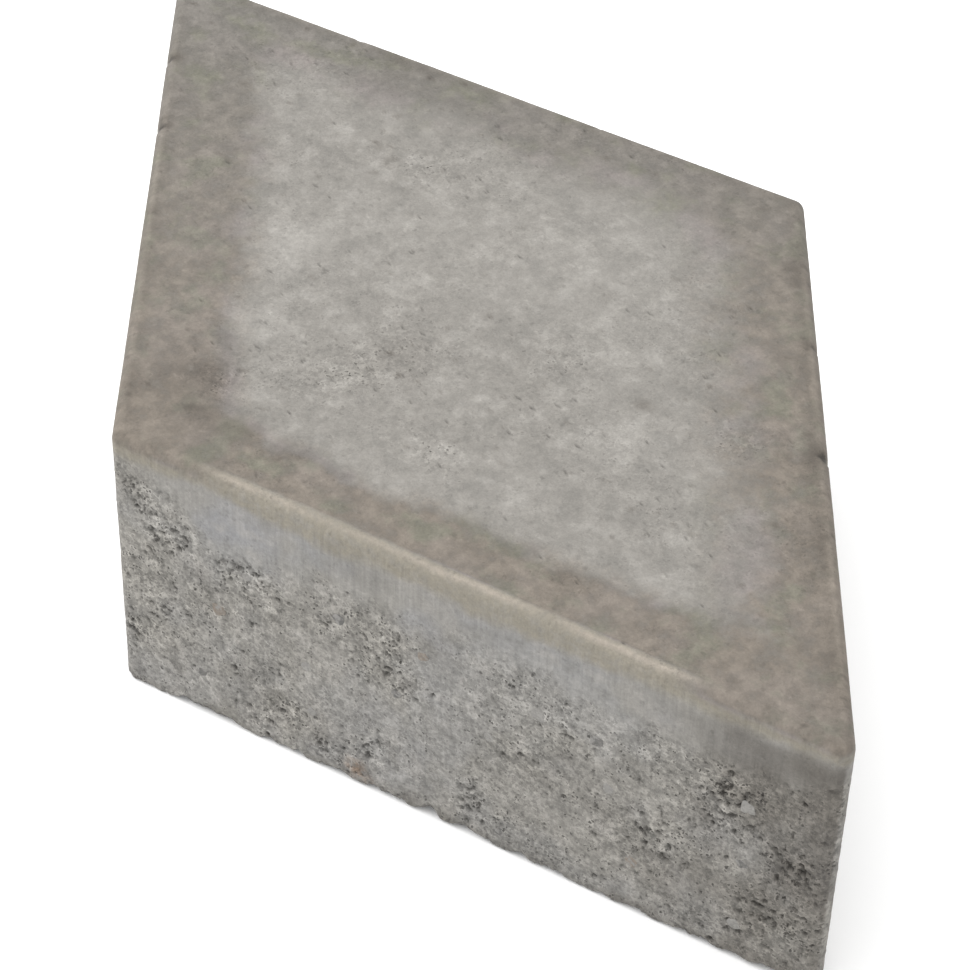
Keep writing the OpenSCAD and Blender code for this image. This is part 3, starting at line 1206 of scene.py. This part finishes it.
@dataclass
class FaceLayer:
    """The fine face mix: walking face, worn arris and the smooth top of the sides.

    Args:
        plan: the block's plan.
        relief: its relief.
        steps: points to a side of the diamond.
        wall_rows: rows of points on the upright part.
        arris_rows: rows of points round the arris.
    """

    plan: Plan
    relief: Relief
    steps: int = 250
    wall_rows: int = 17
    arris_rows: int = 9

    def skin(self, points: np.ndarray, normals: np.ndarray) -> Skin:
        """Lowers flat points to the real surface, sides and top alike."""
        level = smooth_step(0.25, 0.8, normals[:, 2])
        wall, wall_marks = self.relief.wall(points)
        face, face_marks = self.relief.face(points)
        nicks = self.relief.nicks(points)
        depth = wall * (1 - level) + face * level + nicks
        weather = self.relief.weather
        marks = {name: wall_marks[name] * (1 - level) + face_marks[name] * level for name in wall_marks}
        broken = smooth_step(0.15 * MM, 0.6 * MM, nicks)
        marks["coarse"] = np.maximum(marks["coarse"], 0.8 * broken)
        # Broken places on the arris get painted shade as well
        marks["pit_shade"] = np.maximum(marks["pit_shade"], 0.75 * broken)
        marks |= common_marks(weather, points)
        marks["level"] = level
        marks["wear_and_highlight"] = marks["wear_and_highlight"] * (1 - broken)
        return Skin(points - normals * depth[:, None], marks)

    def build(self) -> bpy.types.Object:
        """Makes the piece."""
        low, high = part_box("face_layer")
        outline, out = self.plan.outline(self.steps)
        columns = len(outline)
        rows = []
        heights = np.linspace(low.z, high.z - self.plan.arris, self.wall_rows)[:-1]
        for height in np.insert(heights, 1, low.z + 0.03 * MM):
            rows.append((outline, height, out, 0.0))
        for angle in np.linspace(0, math.pi / 2, self.arris_rows):
            ring = outline - out * self.plan.arris * (1 - math.cos(angle))
            level = high.z - self.plan.arris * (1 - math.sin(angle))
            rows.append((ring, level, out * math.cos(angle), math.sin(angle)))
        points = np.concatenate([np.column_stack([ring, np.full(columns, z)]) for ring, z, _, _ in rows])
        normals = np.concatenate([np.column_stack([side, np.full(columns, up)]) for _, _, side, up in rows])
        sheet = Sheet(self.steps)
        inner = sheet.inner(points[-columns:])
        points = np.concatenate([points, inner])
        normals = np.concatenate([normals, np.tile([0.0, 0.0, 1.0], (len(inner), 1))])
        skin = self.skin(points, normals)
        skin = joined(skin, Skin(np.array([[0.0, 0.0, low.z]]), {name: np.zeros(1) for name in skin.marks}))
        last = (len(rows) - 1) * columns
        crown = sheet.faces(last, len(rows) * columns, True)
        faces = [np.concatenate([ring_faces(len(rows), columns), crown]),
                 fan_faces(0, columns, len(skin.places) - 1, False)]
        piece = new_piece("face_layer_cast", skin.places, faces, skin.marks)
        piece.data.materials.append(ConcreteFinish().material("face_concrete"))
        unwrap(piece, self.plan)
        return piece


@dataclass
class CoreLayer:
    """The coarse core mix: open-pored sides, ragged lower edge and rough underside.

    Args:
        plan: the block's plan.
        relief: its relief.
        steps: points to a side of the diamond.
        rows: rows of points up the sides.
        most: most triangles that the finished mesh may have.
    """

    plan: Plan
    relief: Relief
    steps: int = 400
    rows: int = 140
    most: int = 196000
    lap: float = 0.4 * MM

    def lower_edge(self, ring: np.ndarray) -> np.ndarray:
        """Height of the ragged lower edge round the outline."""
        plan = self.plan
        broad = np.clip(Noise(101, 19 * MM, 3)(ring) - 0.05, 0, 1) * 2.2 * MM
        crumbs = np.clip(Noise(102, 3.6 * MM, 4)(ring) + 0.1, 0, 1) * 1.5 * MM
        run, which = plan.laid_flat(ring)[:, 0] + 0.5 * MM * Noise(107, 1.6 * MM, 2)(ring), plan.side_of(ring)
        bites = np.zeros(len(ring))
        for bite in BITES:
            gap = (run - bite.side.value * plan.length - bite.along) / bite.reach
            bites = np.maximum(bites, bite.strength * MM * np.exp(-gap ** 2) * (which == bite.side.value))
        return 0.1 * MM + broad + crumbs + bites

    def underside(self, points: np.ndarray) -> np.ndarray:
        """Height of the rough bedding face."""
        inset = self.plan.inset(points).min(0)
        rise = np.clip(0.3 + 0.5 * Noise(103, 3.5 * MM, 4)(points), 0, 1.4) * MM
        pits = Pits(104, 4.5 * MM, 0.8 * MM, 2.0 * MM)(points[:, :2], np.full(len(points), 0.5))
        return (rise + 1.2 * MM * pits) * smooth_step(0.0, 2 * MM, inset)

    def build(self) -> bpy.types.Object:
        """Makes the piece."""
        low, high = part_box("core_layer")
        steps, rows = ((self.steps, self.rows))
        outline, out = self.plan.outline(steps)
        columns = len(outline)
        edge = self.lower_edge(np.column_stack([outline, np.zeros(columns)]))
        shares = np.linspace(0, 1, rows)
        heights = [low.z + edge + (high.z - low.z - edge) * share for share in shares]
        points = np.concatenate([np.column_stack([outline, height]) for height in heights])
        normals = np.tile(np.column_stack([out, np.zeros(columns)]), (rows, 1))
        depth, marks = self.relief.wall(points)
        rounding = np.clip(1 - (points[:, 2] - np.tile(edge, rows)) / (1.2 * MM), 0, 1) ** 2
        depth = depth + rounding * (0.5 * MM + 0.5 * MM * np.clip(Noise(105, 3 * MM, 2)(points), 0, 1))
        walls = points - normals * depth[:, None]
        neck = np.column_stack([walls[-columns:, :2] - out * 0.04 * MM, np.full(columns, high.z + self.lap)])
        places = np.concatenate([walls, neck])
        sheet = Sheet(steps)
        inner = sheet.inner(places[:columns])
        blend = smooth_step(0.0, 7 * MM, self.plan.inset(inner).min(0))
        inner[:, 2] = low.z + (inner[:, 2] - low.z) * (1 - blend) * 0.6 + self.underside(inner)
        marks |= common_marks(self.relief.weather, points)
        last = (rows - 1) * columns
        marks = {name: np.concatenate([values, values[last:]]) for name, values in marks.items()}
        below = {name: np.zeros(len(inner)) for name in marks}
        below["coarse"] = np.ones(len(inner))
        pores = Pits(104, 4.5 * MM, 0.8 * MM, 2.0 * MM)(inner[:, :2], np.full(len(inner), 0.5))
        below["pit_shade"] = np.clip(pores, 0, 1)
        skin = joined(Skin(places, marks), Skin(inner, below))
        middle = Skin(np.array([[0.0, 0.0, high.z + self.lap]]), {name: np.zeros(1) for name in marks})
        skin = joined(skin, middle)
        faces = [np.concatenate([ring_faces(rows + 1, columns), sheet.faces(0, len(places), False)]),
                 fan_faces(rows * columns, columns, len(skin.places) - 1, True)]
        piece = new_piece("core_layer_cast", skin.places, faces, skin.marks)
        thinned(piece, self.most)
        kept_inside(piece, *CAD_BOX)
        piece.data.materials.append(ConcreteFinish().material("core_concrete"))
        unwrap(piece, self.plan)
        return piece


@dataclass
class Chips:
    """The chips of one kind of stone.

    Args:
        node: the frame's node.
        finish: the stone.
        plan: the block's plan.
        seats: where the chips sit.
        fineness: how finely each stone is meshed.
    """

    node: str
    finish: StoneFinish
    plan: Plan
    seats: ChipSeats
    fineness: int = 4

    def stone(self, ball: np.ndarray, seat: ChipSeat) -> np.ndarray:
        """One stone: its seat's flat-faced shape with worn edges, held just behind the mould wall."""
        steep = np.maximum(ball @ seat.planes[:, :3].T, 1e-3)
        reach = (seat.planes[:, 3] - seat.planes[:, :3] @ seat.middle) / steep
        softness = 9.0
        nearest = reach.min(1, keepdims=True)
        worn = nearest[:, 0] * (np.exp(-softness * (reach / nearest - 1)).sum(1)) ** (-1 / softness / 2.2)
        places = seat.middle + ball * (worn * 0.985)[:, None]
        places += ball * (0.06 * MM * Noise(111, 1.2 * MM, 3)(places))[:, None]
        out = self.plan.outward(seat.side)
        sunk = (0.1 + 0.1 * hashed(112, np.array([int(seat.middle[0] * 1e6)]))[0]) * MM
        beyond = places[:, :2] @ out - (self.plan.half_width - sunk)
        relief = 0.05 * MM * Noise(113, 0.9 * MM, 3)(places)
        over = np.maximum(beyond, 0)
        places[:, :2] -= out * (over - np.where(over > 0, np.minimum(relief, over), 0))[:, None]
        return places

    def build(self) -> bpy.types.Object:
        """Makes the piece: every chip of this kind, each a closed stone."""
        mesh = bmesh.new()
        bmesh.ops.create_icosphere(mesh, subdivisions=self.fineness, radius=1.0)
        ball = np.array([vertex.co for vertex in mesh.verts])
        corners = np.array([[vertex.index for vertex in face.verts] for face in mesh.faces])
        mesh.free()
        seats = self.seats.seats[self.node]
        places = np.concatenate([self.stone(ball, seat) for seat in seats])
        faces = np.concatenate([corners + len(ball) * number for number in range(len(seats))])
        piece = new_piece(self.node + "_stones", places, [faces], {})
        piece.data.materials.append(self.finish.material(self.node.replace("chips", "stone")))
        return piece


def unwrap(piece: bpy.types.Object, plan: Plan) -> None:
    """Lays the piece out flat for its maps: the diamond faces whole, and each side as a strip.

    Args:
        piece: the layer to lay out.
        plan: the block's plan.
    """
    mesh = piece.data
    count = len(mesh.loops)
    owner, starts = np.zeros(count, np.int32), np.zeros(len(mesh.polygons), np.int32)
    sizes = np.zeros(len(mesh.polygons), np.int32)
    mesh.loops.foreach_get("vertex_index", owner)
    mesh.polygons.foreach_get("loop_start", starts)
    mesh.polygons.foreach_get("loop_total", sizes)
    places, normals = np.zeros(len(mesh.vertices) * 3), np.zeros(len(mesh.polygons) * 3)
    centres = np.zeros(len(mesh.polygons) * 3)
    mesh.vertices.foreach_get("co", places)
    mesh.polygons.foreach_get("normal", normals)
    mesh.polygons.foreach_get("center", centres)
    places, normals, centres = places.reshape(-1, 3), normals.reshape(-1, 3), centres.reshape(-1, 3)
    face_of_loop = np.repeat(np.arange(len(sizes)), sizes)[np.argsort(np.argsort(np.repeat(starts, sizes)))]
    corner = places[owner]
    low, high = places[:, 2].min(), places[:, 2].max()
    tall = high - low
    gap = 3 * MM
    side = plan.side_of(centres)[face_of_loop]
    out = np.stack([plan.outward(s) for s in Side])
    sideways = (normals[:, :2] * out[plan.side_of(centres)]).sum(1)
    inset = plan.inset(centres).min(0)
    is_wall = ((inset < 2.2 * MM) & (sideways > 0.5 * np.abs(normals[:, 2])))[face_of_loop]
    is_up = (normals[:, 2] > 0)[face_of_loop]
    spread = np.zeros((count, 2))
    wide = plan.length + gap
    along = np.zeros(count)
    for s in Side:
        mine = side == s.value
        along[mine] = (corner[mine, :2] - plan.sharp_corner(s)) @ plan.heading(s)
    spread[:, 0] = along + (side % 2) * wide
    spread[:, 1] = (corner[:, 2] - low) + (side // 2) * (tall + gap)
    half_long = plan.sharp_corner(Side.BACK_RIGHT)[0]
    half_short = plan.sharp_corner(Side.BACK_LEFT)[1]
    flat = corner[:, :2] + np.array([half_long, half_short + 2 * (tall + gap)])
    hidden = corner[:, :2] * 0.1 + np.array([half_long * 2 - 10 * MM, half_short * 0.4 + 2 * (tall + gap)])
    shown_up = piece.name.startswith("face")
    spread = np.where(is_wall[:, None], spread, np.where((is_up == shown_up)[:, None], flat, hidden))
    layer = mesh.uv_layers.new(name="OFBake")
    layer.data.foreach_set("uv", (spread / (2 * wide) + 0.002).astype(np.float32).ravel())


# ----------------------------------------------------------------------------------------------------- studio

@dataclass(frozen=True)
class Studio:
    """Pale floor, soft lights and the camera.

    Args:
        azimuth: turn of the camera round the block, in degrees; 0 looks along +Y.
        elevation: height of the camera over the horizon, in degrees.
        roll: tilt of the camera about its line of sight, in degrees.
        distance: from the camera to the point it aims at.
        aim: that point, in metres.
        lens: focal length in millimetres, on a sensor 36 mm wide.
        floor_reach: half the floor's width, in metres.
        sky: strength of the white sky.
    """

    azimuth: float = 59.525
    elevation: float = 42.502
    roll: float = 1.795
    distance: float = 0.79476
    aim: tuple[float, float, float] = (0.01571, -0.00450, 0.038)
    lens: float = 120.65
    floor_reach: float = 30.0
    sky: float = 1.2

    def camera(self) -> None:
        """Places the camera."""
        turn, rise = math.radians(self.azimuth), math.radians(self.elevation)
        back = Vector((math.sin(turn) * math.cos(rise), -math.cos(turn) * math.cos(rise), math.sin(rise)))
        right = Vector((0, 0, 1)).cross(back).normalized()
        upward = back.cross(right)
        tilt = math.radians(self.roll)
        right, upward = (right * math.cos(tilt) + upward * math.sin(tilt),
                         upward * math.cos(tilt) - right * math.sin(tilt))
        data = bpy.data.cameras.new("camera")
        data.lens, data.sensor_width, data.clip_start = self.lens, 36.0, 0.01
        camera = bpy.data.objects.new("camera", data)
        axes = Matrix((right, upward, back)).transposed().to_4x4()
        camera.matrix_world = Matrix.Translation(Vector(self.aim) + back * self.distance) @ axes
        bpy.context.scene.collection.objects.link(camera)
        bpy.context.scene.camera = camera

    def lamp(self, name: str, toward: tuple[float, float, float], size: float, power: float) -> None:
        """Places a soft square lamp that shines on the block.

        Args:
            name: the lamp's name.
            toward: where it stands, in metres.
            size: its side.
            power: its strength in watts.
        """
        data = bpy.data.lights.new(name, "AREA")
        data.size, data.energy = size, power
        lamp = bpy.data.objects.new(name, data)
        lamp.location = toward
        lamp.rotation_euler = (-Vector(toward)).to_track_quat("-Z", "Y").to_euler()
        bpy.context.scene.collection.objects.link(lamp)

    def build(self) -> None:
        """Makes the floor, the lamps, the sky and the camera."""
        corners = self.floor_reach * np.array([[-1, -1, 0], [1, -1, 0], [1, 1, 0], [-1, 1, 0]], float)
        floor = new_piece("studio_floor", corners, [np.array([[0, 1, 2, 3]])], {})
        floor.data.materials.append(FloorFinish().material("studio_floor"))
        world = bpy.data.worlds.new("studio_sky")
        world.use_nodes = True
        background = world.node_tree.nodes["Background"]
        background.inputs["Color"].default_value = (1.0, 1.0, 1.0, 1.0)
        background.inputs["Strength"].default_value = self.sky
        bpy.context.scene.world = world
        self.lamp("key_lamp", (-0.55, -0.85, 1.1), 0.9, 12.6)
        self.lamp("top_lamp", (-0.1, 0.1, 1.6), 1.2, 10.1)
        self.camera()
        bpy.context.scene.view_settings.view_transform = "Standard"
        bpy.context.scene.view_settings.look = "None"


# -------------------------------------------------------------------------------------------- the whole block

def seat_piece(piece: bpy.types.Object, node: str) -> None:
    """Lets a piece stand for a node of the frame.

    Args:
        piece: the piece.
        node: the node it stands for.
    """
    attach(piece, "root")
    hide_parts(node)
    log.info("%s stands for %s with %d faces", piece.name, node, len(piece.data.polygons))


def main() -> None:
    """Builds the studio and every piece, and notes the sizes."""
    logging.basicConfig(level=logging.INFO, format="%(name)s: %(message)s")
    Studio().build()
    plan = Plan()
    seats = ChipSeats(plan)
    stones = {
        "light_chips": StoneFinish(srgb(119, 117, 113), srgb(129, 127, 123), cover=0.92),
        "dark_chips": StoneFinish(srgb(75, 74, 72), srgb(97, 95, 92)),
        "rust_chips": StoneFinish(srgb(107, 97, 86), srgb(120, 113, 105), cover=0.95),
    }
    for node in stones:
        seats.read(node)
    relief = Relief(Weather(plan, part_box("face_layer")[1].z), seats)
    seat_piece(FaceLayer(plan, relief).build(), "face_layer")
    seat_piece(CoreLayer(plan, relief).build(), "core_layer")
    for node, finish in stones.items():
        seat_piece(Chips(node, finish, plan, seats).build(), node)


if __name__ == "__main__":
    main()
